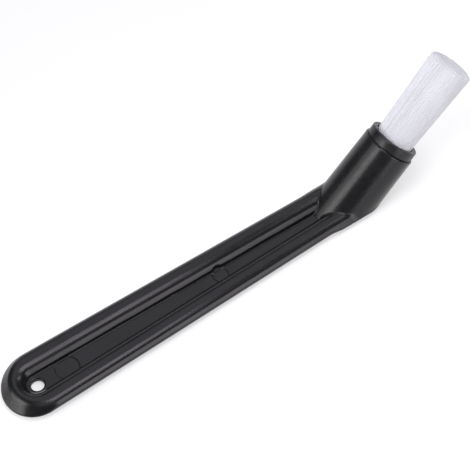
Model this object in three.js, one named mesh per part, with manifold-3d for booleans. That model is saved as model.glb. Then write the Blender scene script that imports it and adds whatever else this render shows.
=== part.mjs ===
// Coffee machine cleaning brush: a channelled handle with an angled socket, and a plug-in brush head.
// Millimetres. The origin is where the head's axis crosses the flat back, +X runs towards the head and +Z is up.
import * as THREE from 'three';
import { mergeVertices } from 'three/addons/utils/BufferGeometryUtils.js';
import Module from 'manifold-3d';

const wasm = await Module();
wasm.setup();

// Handle
const HANDLE_REACH = 122.1; // hanging hole to the bend
const TAIL_OVERHANG = 12.7; // hanging hole to the tail end
const TAIL_WIDTH = 22.9;
const WAIST_WIDTH = 18.3; // narrowest place, a little before the socket
const WAIST_X = -12.5;
const FOOT_WIDTH = 19.5; // under the socket
const FOOT_RAMP = 6; // waist to the full width of the foot
const FOOT_END = 4; // centre of the foot's round end
const HANDLE_THICKNESS = 5.4;
const SIDE_CURVE = 1.05; // power of the taper: 1 would make straight sides
const BACK_ROUND = 3.3;

// Rims on both sides of the channel: a round top that runs into a sloped flank on each side
const FLANK_SLOPE = 51; // degrees from the level
const RIM_ROUND = 2.1;
const RIM_FLANK = 1.2; // height of the outer flank
const RIDGE_TAIL = 1.6; // the ridge turns about a point this far from the hole, towards the head
const RIDGE_GAP = 0.05; // keeps the ridge's trim clear of the sides that it doesn't cut
const LIP_ROUND = 3;
const LIP_FLANK = 1.4; // height of the flank on the channel's side

// Channel in the upper face, measured on its floor
const CHANNEL_WIDTH_TAIL = 7.1;
const CHANNEL_WIDTH_HEAD = 3;
const CHANNEL_DEPTH = 3.6;
const CHANNEL_DRAFT = 0.1; // the wall below the flank leans out by this much
const HANG_HOLE_DIAMETER = 4.3;
const HANG_HOLE_CHAMFER = 0.6;

// Ejector-pin marks on the channel floor
const PIN_MARK_DEPTH = 0.2;
const TAIL_PIN_MARK = { x: -111.2, y: -0.3, diameter: 8.6 };
const MIDDLE_PIN_MARK = { x: -51.4, y: 0, diameter: 5.8 }; // wider than the floor, so it cuts the walls too

// Socket
const HEAD_ANGLE = 45;
const SEAT_DISTANCE = 25.9; // bend to the socket's end face, along the head's axis
const SOCKET_END_DIAMETER = 18.6;
const SOCKET_BASE_DIAMETER = 19.8;
const SOCKET_SINK = 12; // the tube runs this far below the bend, into the handle
const SOCKET_WALL = 1;
const SOCKET_EDGE = 0.4;
const HEEL_ROUND = 3.5; // bend of the back up into the socket

// Brush head
const SPIGOT_LENGTH = 14;
const SPIGOT_CLEARANCE = 0.25;
const COLLAR_DIAMETER = 17.6;
const COLLAR_LENGTH = 3;
const SEAT_GAP = 0.3; // seam between the collar and the socket
const HOLDER_WALL = 1.2;
const HOLDER_FLOOR = 1.2;
const HOLDER_EDGE = 0.3;
const PIECE_GAP = 0.3;
const RESIN_THICKNESS = 1.2;
const ROOT_THICKNESS = 2;
const TUFT_LENGTH = 31.6; // filament showing past the collar
const TUFT_TIP_DIAMETER = 15.9;
const TUFT_CROWN = 0.85; // the outer filaments end this much lower
const STRAND_COUNT = 420;
const STRAND_RADIUS = 0.2;

const FAR = 200; // longer than the brush, for solids that trim
const ROUND_STEPS = 4;
const TURN_STEPS = 48;
const GOLDEN_ANGLE = Math.PI * (3 - Math.sqrt(5));

const headAxis = new THREE.Vector3(
  Math.cos(THREE.MathUtils.degToRad(HEAD_ANGLE)), 0, Math.sin(THREE.MathUtils.degToRad(HEAD_ANGLE)));
const headTurn = new THREE.Quaternion().setFromUnitVectors(new THREE.Vector3(0, 1, 0), headAxis);

const holeX = -HANDLE_REACH;
const tailRadius = TAIL_WIDTH / 2;
const tailX = holeX - TAIL_OVERHANG + tailRadius;
const floorHeight = HANDLE_THICKNESS - CHANNEL_DEPTH;

function toSolid(geometry) {
  const bare = new THREE.BufferGeometry();
  bare.setAttribute('position', geometry.getAttribute('position'));
  bare.setIndex(geometry.getIndex());
  const merged = mergeVertices(bare, 1e-5);
  return new wasm.Manifold(new wasm.Mesh({
    numProp: 3,
    vertProperties: Float32Array.from(merged.getAttribute('position').array),
    triVerts: Uint32Array.from(merged.getIndex().array),
  }));
}

function toGeometry(solid) {
  const mesh = solid.getMesh();
  const geometry = new THREE.BufferGeometry();
  geometry.setAttribute('position', new THREE.BufferAttribute(mesh.vertProperties, 3));
  geometry.setIndex(new THREE.BufferAttribute(mesh.triVerts, 1));
  const flat = geometry.toNonIndexed();
  flat.computeVertexNormals();
  return flat;
}

// Plan outline, anticlockwise: a round tail, two sides that follow halfWidth(x), and a round head end at endX.
function planOutline(centreX, endX, halfWidth) {
  const points = [];
  const tailSteps = 24;
  for (let i = 0; i <= tailSteps; i++) {
    const angle = Math.PI / 2 + Math.PI * i / tailSteps;
    const radius = halfWidth(centreX);
    points.push(new THREE.Vector2(centreX + radius * Math.cos(angle), radius * Math.sin(angle)));
  }
  const sideSteps = 20;
  const lowSide = [];
  for (let i = 1; i < sideSteps; i++) {
    const x = THREE.MathUtils.lerp(centreX, endX, i / sideSteps);
    lowSide.push(new THREE.Vector2(x, -halfWidth(x)));
  }
  const headSteps = 12;
  const head = [];
  for (let i = 0; i <= headSteps; i++) {
    const angle = -Math.PI / 2 + Math.PI * i / headSteps;
    const radius = halfWidth(endX);
    head.push(new THREE.Vector2(endX + radius * Math.cos(angle), radius * Math.sin(angle)));
  }
  const highSide = lowSide.map((point) => new THREE.Vector2(point.x, -point.y)).reverse();
  return [...points, ...lowSide, ...head, ...highSide];
}

// The outline moved out along its normals by a distance, at one height.
function ring(outline, outset, height) {
  return outline.map((point, i) => {
    const before = outline[(i + outline.length - 1) % outline.length];
    const after = outline[(i + 1) % outline.length];
    const along = after.clone().sub(before).normalize();
    return new THREE.Vector3(point.x + along.y * outset, point.y - along.x * outset, height);
  });
}

// Closed solid through rings of the same number of points, lowest ring first.
function loft(rings) {
  const count = rings[0].length;
  const index = [];
  for (let level = 0; level < rings.length - 1; level++) {
    for (let i = 0; i < count; i++) {
      const a = level * count + i;
      const b = level * count + (i + 1) % count;
      index.push(a, b, b + count, a, b + count, a + count);
    }
  }
  const top = (rings.length - 1) * count;
  const cap = (points) => THREE.ShapeUtils.triangulateShape(points.map((p) => new THREE.Vector2(p.x, p.y)), []);
  for (const [a, b, c] of cap(rings[0])) {
    index.push(a, c, b);
  }
  for (const [a, b, c] of cap(rings[rings.length - 1])) {
    index.push(top + a, top + b, top + c);
  }
  const geometry = new THREE.BufferGeometry();
  const positions = rings.flat().flatMap((point) => point.toArray());
  geometry.setAttribute('position', new THREE.Float32BufferAttribute(positions, 3));
  geometry.setIndex(index);
  return toSolid(geometry);
}

// Solid of revolution about the head's axis: the profile holds pairs of radius and distance from the bend.
function headLathe(profile) {
  const points = profile.map(([radius, distance]) => new THREE.Vector2(radius, distance));
  return new THREE.LatheGeometry(points, TURN_STEPS);
}

function headSolid(profile) {
  return toSolid(headLathe(profile).applyQuaternion(headTurn));
}

function uprightCylinder(x, y, diameter, low, high) {
  const geometry = new THREE.CylinderGeometry(diameter / 2, diameter / 2, high - low, 32);
  geometry.rotateX(Math.PI / 2);
  geometry.translate(x, y, (low + high) / 2);
  return toSolid(geometry);
}

// Cone that breaks the hanging hole's upper edge.
function hangHoleChamfer() {
  const radius = HANG_HOLE_DIAMETER / 2;
  const geometry = new THREE.CylinderGeometry(
    radius + 2 * HANG_HOLE_CHAMFER, radius, 2 * HANG_HOLE_CHAMFER, 32);
  geometry.rotateX(Math.PI / 2);
  geometry.translate(holeX, 0, floorHeight);
  return toSolid(geometry);
}

function ridgeHalfWidth(x) {
  const run = THREE.MathUtils.clamp((x - tailX) / (WAIST_X - tailX), 0, 1);
  return THREE.MathUtils.lerp(tailRadius, WAIST_WIDTH / 2, run ** SIDE_CURVE);
}

function barHalfWidth(x) {
  const ramp = THREE.MathUtils.clamp((x - WAIST_X) / FOOT_RAMP, 0, 1);
  return ridgeHalfWidth(x) + (FOOT_WIDTH - WAIST_WIDTH) / 2 * ramp;
}

function channelHalfWidth(x) {
  const run = (x - holeX) / HANDLE_REACH;
  return THREE.MathUtils.lerp(CHANNEL_WIDTH_TAIL, CHANNEL_WIDTH_HEAD, run) / 2;
}

// Rim profile from its top outwards: pairs of reach and drop, through the round and down the sloped flank.
function rimProfile(round, flank) {
  const slope = THREE.MathUtils.degToRad(FLANK_SLOPE);
  const points = [];
  for (let i = 0; i <= ROUND_STEPS; i++) {
    const angle = slope * i / ROUND_STEPS;
    points.push([round * Math.sin(angle), round * (1 - Math.cos(angle))]);
  }
  const [reach, drop] = points[ROUND_STEPS];
  points.push([reach + flank / Math.tan(slope), drop + flank]);
  return points;
}

// One skin: the back, round to the sides, over the rims and down to the channel's floor.
function makeBar() {
  const outline = planOutline(tailX, FOOT_END, barHalfWidth);
  const channel = planOutline(holeX, -CHANNEL_WIDTH_HEAD / 2, channelHalfWidth);
  const rings = [];
  for (let i = 0; i <= ROUND_STEPS; i++) {
    const angle = Math.PI / 2 * i / ROUND_STEPS;
    rings.push(ring(outline, -BACK_ROUND * (1 - Math.sin(angle)), BACK_ROUND * (1 - Math.cos(angle))));
  }
  const outer = rimProfile(RIM_ROUND, RIM_FLANK);
  const outerReach = outer[outer.length - 1][0];
  for (const [reach, drop] of outer.reverse()) {
    rings.push(ring(outline, reach - outerReach, HANDLE_THICKNESS - drop));
  }
  const inner = rimProfile(LIP_ROUND, LIP_FLANK);
  const innerReach = inner[inner.length - 1][0];
  for (const [reach, drop] of inner) {
    rings.push(ring(channel, innerReach - reach, HANDLE_THICKNESS - drop));
  }
  rings.push(ring(channel, -CHANNEL_DRAFT, floorHeight));
  return loft(rings);
}

// Prism over the channel's floor, from a depth below it to a height above it.
function makeFloorPrism(depth, height) {
  const channel = planOutline(holeX, -CHANNEL_WIDTH_HEAD / 2, channelHalfWidth);
  return loft([floorHeight - depth, floorHeight + height].map((level) => ring(channel, -CHANNEL_DRAFT, level)));
}

// Ridge and outer flank of the rims. The flank is longer at the foot, and around the tail it runs down to the back.
function makeRidgeTrim() {
  const outline = planOutline(holeX + RIDGE_TAIL, FOOT_END, ridgeHalfWidth);
  const profile = rimProfile(RIM_ROUND, RIM_FLANK);
  const [reach, drop] = profile[profile.length - 1];
  const below = HANDLE_THICKNESS - drop + 1;
  profile.push([reach + below / Math.tan(THREE.MathUtils.degToRad(FLANK_SLOPE)), drop + below]);
  const rings = profile.reverse().map(([out, down]) => ring(
    outline, out - reach + RIDGE_GAP, HANDLE_THICKNESS - down + RIDGE_GAP));
  return loft(rings);
}

// Side view of the head end: flat back, round heel, then the socket's underside.
function makeHeelTrim() {
  const angle = THREE.MathUtils.degToRad(HEAD_ANGLE);
  const cornerX = SOCKET_BASE_DIAMETER / 2 / Math.sin(angle);
  const tangent = HEEL_ROUND * Math.tan(angle / 2);
  const profile = new THREE.Shape();
  profile.moveTo(-FAR, 0);
  profile.lineTo(cornerX - tangent, 0);
  profile.absarc(cornerX - tangent, HEEL_ROUND, HEEL_ROUND, -Math.PI / 2, angle - Math.PI / 2, false);
  profile.lineTo(cornerX + FAR * Math.cos(angle), FAR * Math.sin(angle));
  profile.lineTo(-FAR, FAR);
  const geometry = new THREE.ExtrudeGeometry(profile, { depth: FAR, bevelEnabled: false, curveSegments: 6 });
  geometry.translate(0, 0, -FAR / 2);
  geometry.rotateX(Math.PI / 2);
  return toSolid(geometry);
}

// End view of the foot: the flat back, then the handle's round edges and upright sides.
function makeFootTrim() {
  const half = FOOT_WIDTH / 2;
  const flat = half - BACK_ROUND;
  const profile = new THREE.Shape();
  profile.moveTo(-flat, 0);
  profile.lineTo(flat, 0);
  profile.absarc(flat, BACK_ROUND, BACK_ROUND, -Math.PI / 2, 0, false);
  profile.lineTo(half, FAR);
  profile.lineTo(-half, FAR);
  profile.absarc(-flat, BACK_ROUND, BACK_ROUND, -Math.PI, -Math.PI / 2, false);
  const geometry = new THREE.ExtrudeGeometry(profile, { depth: FAR, bevelEnabled: false, curveSegments: 4 });
  geometry.translate(0, 0, -FAR / 2);
  geometry.rotateX(Math.PI / 2);
  geometry.rotateZ(Math.PI / 2);
  return toSolid(geometry);
}

// The socket's outer shape: a tapered tube that keeps to the foot's round edges.
function makeSocket() {
  const endRadius = SOCKET_END_DIAMETER / 2;
  const tube = headSolid([
    [0, -SOCKET_SINK],
    [SOCKET_BASE_DIAMETER / 2, -SOCKET_SINK],
    [endRadius, SEAT_DISTANCE - SOCKET_EDGE],
    [endRadius - SOCKET_EDGE, SEAT_DISTANCE],
    [0, SEAT_DISTANCE],
  ]);
  return tube.intersect(makeFootTrim());
}

const boreRadius = SOCKET_END_DIAMETER / 2 - SOCKET_WALL;
const boreFloor = SEAT_DISTANCE - SPIGOT_LENGTH - PIECE_GAP;
const collarFoot = SEAT_DISTANCE + SEAT_GAP;
const mouth = collarFoot + COLLAR_LENGTH;
const spigotRadius = boreRadius - SPIGOT_CLEARANCE;
const spigotEnd = collarFoot - SPIGOT_LENGTH;
const cupRadius = spigotRadius - HOLDER_WALL;
const cupFloor = spigotEnd + HOLDER_FLOOR;
const resinFoot = cupFloor + PIECE_GAP;
const rootFoot = resinFoot + RESIN_THICKNESS + PIECE_GAP;
const rootTop = rootFoot + ROOT_THICKNESS;
const rootRadius = cupRadius - PIECE_GAP;
const tuftTip = mouth + TUFT_LENGTH;

function makeHandle() {
  const [tailPin, middleMark] = [TAIL_PIN_MARK, MIDDLE_PIN_MARK].map((mark) => uprightCylinder(
    mark.x, mark.y, mark.diameter, floorHeight - PIN_MARK_DEPTH, HANDLE_THICKNESS + 1));
  const tailMark = tailPin.intersect(makeFloorPrism(PIN_MARK_DEPTH, PIN_MARK_DEPTH));
  const hangHole = uprightCylinder(holeX, 0, HANG_HOLE_DIAMETER, -1, HANDLE_THICKNESS);
  const bore = headSolid([[0, boreFloor], [boreRadius, boreFloor], [boreRadius, SEAT_DISTANCE + 1],
    [0, SEAT_DISTANCE + 1]]);
  return makeBar().intersect(makeRidgeTrim()).subtract(tailMark).subtract(middleMark).subtract(hangHole)
    .subtract(hangHoleChamfer()).add(makeSocket()).intersect(makeHeelTrim()).subtract(bore);
}

function makeHolder() {
  const collarRadius = COLLAR_DIAMETER / 2;
  const mouthRadius = tuftRadiusAt(mouth) + STRAND_RADIUS + PIECE_GAP;
  return headLathe([
    [0, spigotEnd],
    [spigotRadius - HOLDER_EDGE, spigotEnd],
    [spigotRadius, spigotEnd + HOLDER_EDGE],
    [spigotRadius, collarFoot],
    [collarRadius - HOLDER_EDGE, collarFoot],
    [collarRadius, collarFoot + HOLDER_EDGE],
    [collarRadius, mouth - HOLDER_EDGE],
    [collarRadius - HOLDER_EDGE, mouth],
    [mouthRadius, mouth],
    [cupRadius, rootTop],
    [cupRadius, cupFloor],
    [0, cupFloor],
  ]);
}

function makeResin() {
  return headLathe([[0, resinFoot], [rootRadius, resinFoot], [rootRadius, resinFoot + RESIN_THICKNESS],
    [0, resinFoot + RESIN_THICKNESS]]);
}

// Radius of the circle that the outermost filaments' centres lie on, at a distance from the bend.
function tuftRadiusAt(distance) {
  const rootCircle = rootRadius - 2 * STRAND_RADIUS;
  const tipCircle = TUFT_TIP_DIAMETER / 2 - STRAND_RADIUS;
  return THREE.MathUtils.mapLinear(distance, rootTop, tuftTip, rootCircle, tipCircle);
}

function strand(i) {
  const spread = Math.sqrt((i + 0.5) / STRAND_COUNT);
  const angle = i * GOLDEN_ANGLE;
  const rootDistance = (rootFoot + rootTop) / 2;
  const tipDistance = tuftTip - TUFT_CROWN * Math.max(0, (spread - 0.75) / 0.25) ** 2;
  const at = (distance) => new THREE.Vector3(
    spread * tuftRadiusAt(distance) * Math.cos(angle), distance, spread * tuftRadiusAt(distance) * Math.sin(angle));
  const root = at(rootDistance);
  const tip = at(tipDistance);
  const along = tip.clone().sub(root);
  const geometry = new THREE.CylinderGeometry(STRAND_RADIUS, STRAND_RADIUS, along.length(), 3);
  geometry.applyQuaternion(new THREE.Quaternion().setFromUnitVectors(
    new THREE.Vector3(0, 1, 0), along.clone().normalize()));
  geometry.translate(...root.add(tip).multiplyScalar(0.5).toArray());
  return toSolid(geometry);
}

function makeTuft() {
  const button = toSolid(headLathe([[0, rootFoot], [rootRadius, rootFoot], [rootRadius, rootTop], [0, rootTop]]));
  const strands = Array.from({ length: STRAND_COUNT }, (_, i) => strand(i));
  return toGeometry(wasm.Manifold.union([button, ...strands]));
}

function namedMesh(name, geometry, color, roughness) {
  const mesh = new THREE.Mesh(geometry, new THREE.MeshStandardMaterial({ color, roughness, metalness: 0 }));
  mesh.name = name;
  return mesh;
}

const brush = new THREE.Group();
brush.add(namedMesh('handle', toGeometry(makeHandle()), 0x1d1d1f, 0.35));

const head = new THREE.Group();
head.quaternion.copy(headTurn);
head.add(namedMesh('bristle_holder', makeHolder(), 0x161617, 0.45));
head.add(namedMesh('potting_resin', makeResin(), 0xd9c79a, 0.3));
head.add(namedMesh('bristle_tuft', makeTuft(), 0xe9e9ee, 0.55));
brush.add(head);

export default brush;
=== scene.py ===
"""Looks of the coffee machine cleaning brush: the moulded handle, the brush head and its filaments.

The object's sizes are in millimetres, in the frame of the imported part, and become metres when a mesh is
made. Lights and camera are in metres.
"""
import math

import bpy
import numpy as np
from mathutils import Euler, Matrix, Vector


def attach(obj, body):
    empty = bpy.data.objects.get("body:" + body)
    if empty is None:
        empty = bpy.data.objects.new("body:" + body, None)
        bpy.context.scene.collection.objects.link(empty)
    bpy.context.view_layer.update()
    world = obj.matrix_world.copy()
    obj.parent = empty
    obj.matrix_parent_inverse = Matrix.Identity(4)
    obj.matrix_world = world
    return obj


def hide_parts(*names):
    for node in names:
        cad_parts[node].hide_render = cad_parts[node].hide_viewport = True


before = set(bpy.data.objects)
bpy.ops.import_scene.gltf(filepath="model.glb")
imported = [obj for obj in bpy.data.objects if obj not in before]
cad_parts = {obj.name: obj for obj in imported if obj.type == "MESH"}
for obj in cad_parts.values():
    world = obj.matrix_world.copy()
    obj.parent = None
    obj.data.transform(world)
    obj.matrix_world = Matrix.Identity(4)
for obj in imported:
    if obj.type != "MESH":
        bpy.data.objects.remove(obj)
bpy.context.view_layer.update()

MM = 0.001

# Handle
HOLE_X = -122.1
HOLE_RADIUS = 2.15
HOLE_LIP = 0.6  # rounds the hole's upper edge
TAIL_RADIUS = 11.45
TAIL_OVERHANG = 12.7  # hanging hole to the tail end
TAIL_X = HOLE_X - TAIL_OVERHANG + TAIL_RADIUS
WAIST_HALF = 9.15
WAIST_X = -12.5
FOOT_HALF = 9.75
FOOT_RAMP = 6  # waist to the full width of the foot
FOOT_END = 4
SIDE_CURVE = 1.05  # power of the taper: 1 would make straight sides
THICKNESS = 5.4
BACK_ROUND = 3.3

# Rims and channel
FLANK_SLOPE = math.radians(51)
RIDGE_TAIL = 1.6  # the ridge turns about a point this far from the hole, so the flank grows longer there
RIDGE_X = HOLE_X + RIDGE_TAIL
RIM_CORNER = 0.78  # rounds the rim's outer shoulder
RIM_FLANK_FOOT = 3.42  # height where the outer flank meets the side
LIP_CORNER = 1.11  # rounds the shoulder on the channel's side
LIP_FLANK_FOOT = 2.89
RIM_CROWN = 0.02  # drop of the rim's top, by the square of twice the way from its middle
RIM_OFFSET = 0.85  # by so much the channel's flank is wider than the outer flank
RIM_REACH = 3  # the drop grows no more past this
CHANNEL_HALF_TAIL = 3.55
CHANNEL_HALF_HEAD = 1.5
FLOOR_HEIGHT = 1.8
FLOOR_FILLET = 0.2
FLANK_EDGE = 0.08  # rounds the edge between the channel's flank and its wall
EDGE_ROUND = 0.3

# Ejector-pin marks: x, y and radius
TAIL_MARK = (-111.2, -0.3, 4.3)
MIDDLE_MARK = (-51.4, 0, 2.9)
MARK_DEPTH = 0.2
MARK_BURR = 0.1
MARK_BURR_WIDTH = 0.25
MARK_SLOPE = 0.4

# Socket and brush head, along the head's axis from the bend
HALF_ROOT = math.sqrt(0.5)  # sine and cosine of the 45 degrees that the head leans by
SEAT = 25.9  # the socket's end face
SOCKET_SINK = 12
SOCKET_BASE_RADIUS = 9.9
SOCKET_END_RADIUS = 9.3
SOCKET_WALL = 1
SOCKET_EDGE = 0.25
SOCKET_FILLET = 0.5  # between the bar and the socket
FILLET_FOOT = 1  # height where it begins
FILLET_RISE = 2  # to its full size
HEEL_CORNER = 1.03
SPIGOT_LENGTH = 14
SPIGOT_CLEARANCE = 0.25
PIECE_GAP = 0.3
HOLDER_WALL = 1.2
SEAM = 0.12  # between the socket and the collar
COLLAR_LENGTH = 3
COLLAR_RADIUS = 8.8
MOUTH_RADIUS = 7.09
BORE_RADIUS = SOCKET_END_RADIUS - SOCKET_WALL
BORE_FLOOR = SEAT - SPIGOT_LENGTH - PIECE_GAP
SPIGOT_END = SEAT + PIECE_GAP - SPIGOT_LENGTH
SPIGOT_RADIUS = BORE_RADIUS - SPIGOT_CLEARANCE
COLLAR_FOOT = SEAT + SEAM
MOUTH = SEAT + PIECE_GAP + COLLAR_LENGTH
CUP_RADIUS = SPIGOT_RADIUS - HOLDER_WALL
CUP_FLOOR = SPIGOT_END + HOLDER_WALL

# Filaments
RESIN_ROOM = 1.8  # from the cup's floor to the root button
ROOT_THICKNESS = 2
ROOT_FOOT = CUP_FLOOR + RESIN_ROOM
ROOT_TOP = ROOT_FOOT + ROOT_THICKNESS
ROOT_RADIUS = CUP_RADIUS - PIECE_GAP
FILAMENT_COUNT = 2600
FILAMENT_RADIUS = 0.15
FILAMENT_SIDES = 5
FILAMENT_SWAY = 0.03
FILAMENT_DOME = 0.8  # height of a round tip, as a share of its radius
TUFT_LENGTH = 31.6
TUFT_TIP = MOUTH + TUFT_LENGTH
TUFT_ROOT_CIRCLE = 6.225  # the outermost filaments' centres
TUFT_TIP_CIRCLE = 7.8
TUFT_CROWN = 0.85  # the outer filaments end this much lower
CROWN_START = 0.75  # share of the radius where they begin to
TIP_SPREAD = 0.25  # the tips' heights differ by up to this
GOLDEN_ANGLE = math.pi * (3 - math.sqrt(5))

# Grid that the handle's surface is found on
GRID_STEP = 0.33
GRID_LOW = (-135, -12.2, -0.7)
GRID_HIGH = (26, 12.2, 26)

# Studio
FLOOR_CORNERS = ((-400, -350), (320, -350), (320, 350), (-400, 350))
FLOOR_LEVEL = -0.3
FLOOR_GLOW = 0.5
CAMERA_PLACE = (-0.204892, -0.244099, 0.435376)
CAMERA_TURN = (35.0184, 1.3842, -35.1870)  # degrees about X, Y and Z
CAMERA_LENS = 120.653
SENSOR_WIDTH = 36


# Distances to the handle's surface, negative inside
def round_max(a, b, radius):
    corner = np.hypot(np.maximum(radius + a, 0), np.maximum(radius + b, 0))
    return np.minimum(-radius, np.maximum(a, b)) + corner


def round_min(a, b, radius):
    return -round_max(-a, -b, radius)


def smooth_step(t):
    t = np.clip(t, 0, 1)
    return t * t * (3 - 2 * t)


def ridge_half_width(x):
    run = np.clip((x - TAIL_X) / (WAIST_X - TAIL_X), 0, 1) ** SIDE_CURVE
    return TAIL_RADIUS + (WAIST_HALF - TAIL_RADIUS) * run


def bar_half_width(x):
    return ridge_half_width(x) + (FOOT_HALF - WAIST_HALF) * smooth_step((x - WAIST_X) / FOOT_RAMP)


def channel_half_width(x):
    run = (x - HOLE_X) / -HOLE_X
    return CHANNEL_HALF_TAIL + (CHANNEL_HALF_HEAD - CHANNEL_HALF_TAIL) * run


def plan_distance(x, y, start, end, half_width):
    """Distance outside an outline with round ends at start and end and sides at half_width."""
    nearest = np.clip(x, start, end)
    return np.hypot(x - nearest, y) - half_width(nearest)


def pin_mark(x, y, mark):
    """Height of a pin mark above the channel floor: sunk inside, with a burr around it."""
    edge = np.hypot(x - mark[0], y - mark[1]) - mark[2]
    burr = MARK_BURR * np.exp(-(edge / MARK_BURR_WIDTH) ** 2)
    return burr - MARK_DEPTH * smooth_step(-edge / MARK_SLOPE)


def bar_distance(x, y, z):
    sine, cosine = math.sin(FLANK_SLOPE), math.cos(FLANK_SLOPE)
    side = plan_distance(x, y, TAIL_X, FOOT_END, bar_half_width)
    ridge = plan_distance(x, y, RIDGE_X, FOOT_END, ridge_half_width)
    channel = plan_distance(x, y, HOLE_X, 0, channel_half_width)
    off_middle = np.clip(channel + ridge - RIM_OFFSET, -RIM_REACH, RIM_REACH)
    top = z - THICKNESS + RIM_CROWN * off_middle ** 2
    flank = ridge * sine + (z - RIM_FLANK_FOOT) * cosine
    upper = round_max(flank, top, RIM_CORNER)
    outer = round_max(upper, round_max(side, -z, BACK_ROUND), EDGE_ROUND)
    lip = channel * sine - (z - LIP_FLANK_FOOT) * cosine
    wall = round_max(-channel, -lip, FLANK_EDGE)
    floor = z - FLOOR_HEIGHT - pin_mark(x, y, TAIL_MARK) - pin_mark(x, y, MIDDLE_MARK)
    bar = round_max(outer, round_min(wall, floor, FLOOR_FILLET), LIP_CORNER)
    notch = np.hypot(x - MIDDLE_MARK[0], y - MIDDLE_MARK[1]) - MIDDLE_MARK[2]
    notch = np.maximum(notch, FLOOR_HEIGHT + MARK_BURR - z)
    hole = np.hypot(x - HOLE_X, y) - HOLE_RADIUS
    lip_round = HOLE_LIP * np.clip(z / FLOOR_HEIGHT, 0.05, 1)  # dies out towards the back
    return round_max(round_max(bar, -notch, MARK_BURR), -hole, lip_round)


def handle_distance(x, y, z):
    along = (x + z) * HALF_ROOT
    lift = (z - x) * HALF_ROOT
    radius = np.hypot(lift, y)
    run = (along + SOCKET_SINK) / (SEAT + SOCKET_SINK)
    tube_radius = SOCKET_BASE_RADIUS + (SOCKET_END_RADIUS - SOCKET_BASE_RADIUS) * run
    tube = round_max(radius - tube_radius, along - SEAT, SOCKET_EDGE)
    foot = round_max(np.abs(y) - FOOT_HALF, -z, BACK_ROUND)
    fillet = SOCKET_FILLET * np.clip((z - FILLET_FOOT) / FILLET_RISE, 0.02, 1)  # dies out towards the back
    body = round_min(bar_distance(x, y, z), np.maximum(tube, foot), fillet)
    body = np.maximum(body, round_max(-z, -lift - SOCKET_BASE_RADIUS, HEEL_CORNER))
    bore = np.maximum(radius - BORE_RADIUS, BORE_FLOOR - along)
    return round_max(body, -bore, EDGE_ROUND)


# Meshes
def make_mesh(name, points, faces):
    mesh = bpy.data.meshes.new(name)
    mesh.from_pydata((np.asarray(points) * MM).tolist(), [], faces)
    mesh.shade_smooth()
    mesh.validate()
    made = bpy.data.objects.new(name, mesh)
    bpy.context.scene.collection.objects.link(made)
    return made


def surface_net(distance, low, high, step):
    """Points and quads of the surface where a distance is zero: found on a grid, then moved onto it."""
    axes = [np.arange(a, b + step, step) for a, b in zip(low, high)]
    values = distance(*np.meshgrid(*axes, indexing="ij"))
    inside = values < 0
    shape = np.array(values.shape) - 1
    corners = [(i, j, k) for i in (0, 1) for j in (0, 1) for k in (0, 1)]

    def shifted(array, offset):
        return array[tuple(slice(o, o + n) for o, n in zip(offset, shape))]

    count = sum(shifted(inside, c).astype(np.int8) for c in corners)
    cells = np.argwhere((count > 0) & (count < 8))
    number = np.full(shape, -1)
    number[tuple(cells.T)] = np.arange(len(cells))
    total = np.zeros((len(cells), 3))
    crossings = np.zeros((len(cells), 1))
    for a in corners:
        for axis in range(3):
            if a[axis]:
                continue
            step_along = np.eye(3, dtype=int)[axis]
            first = values[tuple((cells + a).T)]
            second = values[tuple((cells + a + step_along).T)]
            crossed = (first < 0) != (second < 0)
            share = np.where(crossed, first / np.where(crossed, first - second, 1), 0)
            spot = np.array(a) + share[:, None] * step_along
            total += np.where(crossed[:, None], spot, 0)
            crossings += crossed[:, None]
    points = np.array(low) + (cells + total / crossings) * step
    probe = 0.01
    for _ in range(4):
        value = distance(*points.T)
        slope = np.stack([distance(*(points + d).T) - distance(*(points - d).T)
                          for d in np.eye(3) * probe], 1) / (2 * probe)
        points -= np.clip(value / np.maximum((slope ** 2).sum(1), 0.2), -step, step)[:, None] * slope

    quads = []
    for axis in range(3):
        u, v = np.eye(3, dtype=int)[(axis + 1) % 3], np.eye(3, dtype=int)[(axis + 2) % 3]
        ahead = np.eye(3, dtype=int)[axis]
        size = np.array(values.shape) - ahead
        here = inside[tuple(slice(0, n) for n in size)]
        there = inside[tuple(slice(o, o + n) for o, n in zip(ahead, size))]
        outward = (here & ~there, (-u - v, -v, 0 * u, -u))
        inward = (there & ~here, (-u - v, -u, 0 * u, -v))
        for starts, ring in (outward, inward):
            edges = np.argwhere(starts)
            quads.append(np.stack([number[tuple((edges + r).T)] for r in ring], 1))
    return points, np.concatenate(quads).tolist()


def head_points(radius, along, angle):
    """Points around the head's axis; the angle turns from the upper side towards -Y."""
    radius, along, angle = np.broadcast_arrays(radius, along, angle)
    lift = radius * np.cos(angle)
    across = -radius * np.sin(angle)
    return np.stack([(along - lift) * HALF_ROOT, across, (along + lift) * HALF_ROOT], -1)


def rounded(profile, steps=4):
    """Profile of radius, distance and corner size, with each corner cut back to an arc."""
    points = []
    for i, (radius, along, corner) in enumerate(profile):
        here = np.array([radius, along], float)
        if corner == 0:
            points.append(here)
            continue
        before = np.array(profile[i - 1][:2]) - here
        after = np.array(profile[i + 1][:2]) - here
        start = here + before / np.linalg.norm(before) * corner
        end = here + after / np.linalg.norm(after) * corner
        for t in np.linspace(0, 1, steps + 1):
            points.append((1 - t) ** 2 * start + 2 * t * (1 - t) * here + t * t * end)
    return np.array(points)


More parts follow.
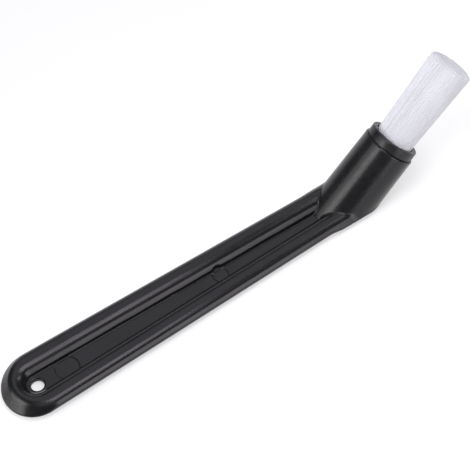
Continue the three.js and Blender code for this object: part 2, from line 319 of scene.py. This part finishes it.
def lathe(name, profile, segments=144):
    """Closed solid of revolution about the head's axis, from a profile that starts and ends on it."""
    angles = np.arange(segments) * 2 * math.pi / segments
    rings = [head_points(radius, along, angles) for radius, along in profile[1:-1]]
    poles = [head_points(0, profile[i][1], 0)[None] for i in (0, -1)]
    points = np.concatenate(rings + poles)
    last = len(rings) * segments
    faces = []
    for i in range(segments):
        j = (i + 1) % segments
        faces.append((last, j, i))
        for row in range(len(rings) - 1):
            a, b = row * segments, (row + 1) * segments
            faces.append((a + i, a + j, b + j, b + i))
        top = last - segments
        faces.append((top + i, top + j, last + 1))
    return make_mesh(name, points, faces)


def make_tuft(name):
    """Every filament as a thin tube from the root button to a rounded tip."""
    chance = np.random.default_rng(7)
    index = np.arange(FILAMENT_COUNT)
    spread = np.sqrt((index + 0.5) / FILAMENT_COUNT)
    angle = index * GOLDEN_ANGLE
    crown = TUFT_CROWN * np.maximum(0, (spread - CROWN_START) / (1 - CROWN_START)) ** 2
    tip = TUFT_TIP - crown - chance.uniform(0, TIP_SPREAD, FILAMENT_COUNT)
    bend = chance.normal(0, FILAMENT_SWAY, (FILAMENT_COUNT, 2))
    lean = chance.normal(0, FILAMENT_SWAY, (FILAMENT_COUNT, 2))
    root = (ROOT_FOOT + ROOT_TOP) / 2
    across = np.stack([head_points(1, 0, 0), head_points(1, 0, math.pi / 2)])
    turns = np.arange(FILAMENT_SIDES) * 2 * math.pi / FILAMENT_SIDES
    section = np.stack([np.cos(turns), np.sin(turns)], 1) @ across
    rings = []
    for t in (0, 0.3, 0.65, 0.995):  # shares of the length
        along = root + (tip - root) * t
        circle = np.interp(along, (ROOT_TOP, TUFT_TIP), (TUFT_ROOT_CIRCLE, TUFT_TIP_CIRCLE))
        sway = bend * math.sin(math.pi * t) + lean * t * t
        centre = head_points(spread * circle, along, angle) + sway @ across
        rings.append(centre[:, None] + section * FILAMENT_RADIUS)
    centre = rings[-1].mean(1)
    point = centre + head_points(0, FILAMENT_RADIUS * FILAMENT_DOME, 0)
    last = FILAMENT_SIDES * (len(rings) - 1)
    per = FILAMENT_SIDES * len(rings) + 1
    points = np.concatenate([np.stack(rings, 1).reshape(FILAMENT_COUNT, -1, 3), point[:, None]], 1)
    pattern = [tuple(reversed(range(FILAMENT_SIDES)))]
    for i in range(FILAMENT_SIDES):
        j = (i + 1) % FILAMENT_SIDES
        for row in range(len(rings) - 1):
            a, b = row * FILAMENT_SIDES, (row + 1) * FILAMENT_SIDES
            pattern.append((a + i, a + j, b + j, b + i))
        pattern.append((last + i, last + j, per - 1))
    starts = range(0, FILAMENT_COUNT * per, per)
    faces = [tuple(start + p for p in face) for start in starts for face in pattern]
    tuft = make_mesh(name, points.reshape(-1, 3), faces)
    shade = tuft.data.attributes.new("strand", "FLOAT", "POINT")
    tones = np.repeat(chance.uniform(0, 1, FILAMENT_COUNT), per)
    shade.data.foreach_set("value", tones.astype(np.float32))
    return tuft


# Materials
def add(tree, kind, **inputs):
    """A new node; each input is a value, or another node's output to link."""
    node = tree.nodes.new(kind)
    for name, value in inputs.items():
        socket = node.inputs[name.replace("_", " ")]
        if isinstance(value, bpy.types.NodeSocket):
            tree.links.new(value, socket)
        else:
            socket.default_value = value
    return node


def calculate(tree, operation, first, second):
    """Output of a math node on another node's output and a second output or number."""
    node = tree.nodes.new("ShaderNodeMath")
    node.operation = operation
    tree.links.new(first, node.inputs[0])
    if isinstance(second, bpy.types.NodeSocket):
        tree.links.new(second, node.inputs[1])
    else:
        node.inputs[1].default_value = second
    return node.outputs[0]


def ramp(tree, factor, low, high):
    """Colours from low to high as a factor goes from 0.3 to 0.7."""
    node = add(tree, "ShaderNodeValToRGB", Fac=factor)
    for element, (place, colour) in zip(node.color_ramp.elements, ((0.3, low), (0.7, high))):
        element.position = place
        element.color = (*colour, 1)
    return node.outputs["Color"]


def span(tree, value, low, high):
    """Numbers from low to high as a value goes from 0.3 to 0.7."""
    node = add(tree, "ShaderNodeMapRange", Value=value, From_Min=0.3, From_Max=0.7,
               To_Min=low, To_Max=high)
    return node.outputs["Result"]


def new_material(name):
    material = bpy.data.materials.new(name)
    material.use_nodes = True
    tree = material.node_tree
    return material, tree, tree.nodes["Principled BSDF"]


def noise(tree, vector, scale, detail=3):
    return add(tree, "ShaderNodeTexNoise", Vector=vector, Scale=scale, Detail=detail).outputs["Fac"]


def plastic(name, low, high, smooth, rough, grain):
    """Moulded plastic: cloudy colour, flow streaks in the gloss along X, and a fine grain."""
    material, tree, shader = new_material(name)
    place = add(tree, "ShaderNodeTexCoord").outputs["Object"]
    streaks = add(tree, "ShaderNodeMapping", Vector=place, Scale=(60, 700, 700)).outputs["Vector"]
    tree.links.new(ramp(tree, noise(tree, place, 90), low, high), shader.inputs["Base Color"])
    tree.links.new(span(tree, noise(tree, streaks, 1), smooth, rough), shader.inputs["Roughness"])
    pits = noise(tree, place, 2600)
    bump = add(tree, "ShaderNodeBump", Strength=grain, Distance=0.00004, Height=pits)
    tree.links.new(bump.outputs["Normal"], shader.inputs["Normal"])
    shader.inputs["IOR"].default_value = 1.4
    return material


def nylon(name):
    material, tree, shader = new_material(name)
    strand = add(tree, "ShaderNodeAttribute")
    strand.attribute_name = "strand"
    colour = ramp(tree, strand.outputs["Fac"], (0.81, 0.825, 0.875), (0.84, 0.855, 0.9))
    tree.links.new(colour, shader.inputs["Base Color"])
    place = add(tree, "ShaderNodeTexCoord").outputs["Object"]
    tree.links.new(span(tree, noise(tree, place, 1500), 0.4, 0.55), shader.inputs["Roughness"])
    shader.inputs["Subsurface Weight"].default_value = 0.35
    shader.inputs["Subsurface Radius"].default_value = (1, 1, 1.1)
    shader.inputs["Subsurface Scale"].default_value = 0.0015
    return material


def resin(name):
    material, tree, shader = new_material(name)
    place = add(tree, "ShaderNodeTexCoord").outputs["Object"]
    cloud = noise(tree, place, 400)
    colour = ramp(tree, cloud, (0.6, 0.47, 0.25), (0.78, 0.67, 0.44))
    tree.links.new(colour, shader.inputs["Base Color"])
    tree.links.new(span(tree, cloud, 0.18, 0.35), shader.inputs["Roughness"])
    return material


def white_ground(name):
    """White that camera, mirror and glass rays see brighter than it is lit, so that it comes out pure."""
    material, tree, shader = new_material(name)
    shader.inputs["Base Color"].default_value = (0.6, 0.6, 0.6, 1)
    shader.inputs["Roughness"].default_value = 0.9
    shader.inputs["Specular IOR Level"].default_value = 0
    path = add(tree, "ShaderNodeLightPath").outputs
    seen = calculate(tree, "MAXIMUM", path["Is Camera Ray"], path["Is Glossy Ray"])
    seen = calculate(tree, "MAXIMUM", seen, path["Is Transmission Ray"])
    shader.inputs["Emission Color"].default_value = (1, 1, 1, 1)
    tree.links.new(calculate(tree, "MULTIPLY", seen, FLOOR_GLOW), shader.inputs["Emission Strength"])
    return material


# The object
handle = make_mesh("handle_moulding", *surface_net(handle_distance, GRID_LOW, GRID_HIGH, GRID_STEP))
handle.data.materials.append(plastic(
    "black_handle_plastic", (0.007, 0.007, 0.008), (0.011, 0.011, 0.012), 0.2, 0.3, 0.25))
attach(handle, "handle")
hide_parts("handle")

holder = lathe("bristle_holder_moulding", rounded([
    (0, SPIGOT_END, 0),
    (SPIGOT_RADIUS, SPIGOT_END, 0.4),
    (SPIGOT_RADIUS, COLLAR_FOOT, 0.1),
    (COLLAR_RADIUS, COLLAR_FOOT, 0.12),
    (COLLAR_RADIUS, MOUTH, 0.35),
    (MOUTH_RADIUS, MOUTH, 0.25),
    (CUP_RADIUS, ROOT_TOP, 0.1),
    (CUP_RADIUS, CUP_FLOOR, 0.2),
    (0, CUP_FLOOR, 0),
]))
holder.data.materials.append(plastic(
    "black_holder_plastic", (0.006, 0.006, 0.007), (0.013, 0.013, 0.014), 0.25, 0.42, 0.6))
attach(holder, "brush_head")
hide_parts("bristle_holder")

tuft = make_tuft("bristle_filaments")
white_nylon = nylon("white_nylon")
tuft.data.materials.append(white_nylon)
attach(tuft, "brush_head")
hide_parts("bristle_tuft")

button = lathe("bristle_root", rounded([
    (0, ROOT_FOOT, 0), (ROOT_RADIUS, ROOT_FOOT, 0.3), (ROOT_RADIUS, ROOT_TOP, 0.3), (0, ROOT_TOP, 0)]))
button.data.materials.append(white_nylon)
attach(button, "brush_head")

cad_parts["potting_resin"].data.materials.clear()
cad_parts["potting_resin"].data.materials.append(resin("amber_resin"))


# The studio
def lay_floor(name, material):
    made = make_mesh(name, [(x, y, FLOOR_LEVEL) for x, y in FLOOR_CORNERS], [(0, 1, 2, 3)])
    made.data.materials.append(material)


lay_floor("floor", white_ground("white_floor"))

world = bpy.data.worlds.new("studio")
world.use_nodes = True
world.node_tree.nodes["Background"].inputs["Color"].default_value = (0.13, 0.13, 0.14, 1)
bpy.context.scene.world = world


def soft_box(name, place, size, radiance, facing, colour=(1, 1, 1)):
    """Area light with a set brightness as seen in a mirror; facing is the direction that it shines in."""
    data = bpy.data.lights.new(name, "AREA")
    data.shape = "RECTANGLE"
    data.size, data.size_y = size
    data.energy = radiance * math.pi * size[0] * size[1]
    data.color = colour
    lamp = bpy.data.objects.new(name, data)
    lamp.matrix_world = Matrix.LocRotScale(place, Vector(facing).to_track_quat("-Z", "Y"), None)
    lamp.visible_camera = False
    bpy.context.scene.collection.objects.link(lamp)


COOL = (1, 0.95, 1.05)
WARM = (1, 0.955, 0.98)
soft_box("left_box", (-1.05, 0.03, 0.47), (0.48, 0.8), 4.8, (1, 0, 0))
soft_box("left_low", (-1.05, 0.435, 0.14), (0.33, 0.22), 4.5, (1, 0, 0))
soft_box("left_fill", (-1.05, 0.5, 0.55), (0.46, 0.6), 1.9, (1, 0, 0))
soft_box("right_box", (0.02, -0.3, 0.1), (0.22, 0.18), 3.6, (0, 1, 0), WARM)
soft_box("back_panel", (0.175, 0.5, 0.85), (0.8, 0.9), 0.93, (-0.2, -0.5, -0.84), COOL)
soft_box("overhead_strip", (-0.072, -0.037, 0.2), (0.124, 0.07), 5.4, (0, 0, -1), COOL)
soft_box("head_box", (0.11, -0.02, 0.2), (0.06, 0.07), 9, (0, 0, -1))
soft_box("low_panel", (0.17, 0.45, 0.06), (0.6, 0.12), 1.4, (0, -1, 0), COOL)
soft_box("front_fill", (-0.25, -0.35, 0.6), (0.5, 0.5), 0.7, (0.25, 0.35, -0.58))

camera = bpy.data.objects.new("camera", bpy.data.cameras.new("camera"))
camera.data.lens = CAMERA_LENS
camera.data.sensor_width = SENSOR_WIDTH
camera_turn = Euler([math.radians(angle) for angle in CAMERA_TURN])
camera.matrix_world = Matrix.LocRotScale(CAMERA_PLACE, camera_turn, None)
bpy.context.scene.collection.objects.link(camera)
bpy.context.scene.camera = camera
bpy.context.scene.view_settings.view_transform = "Standard"
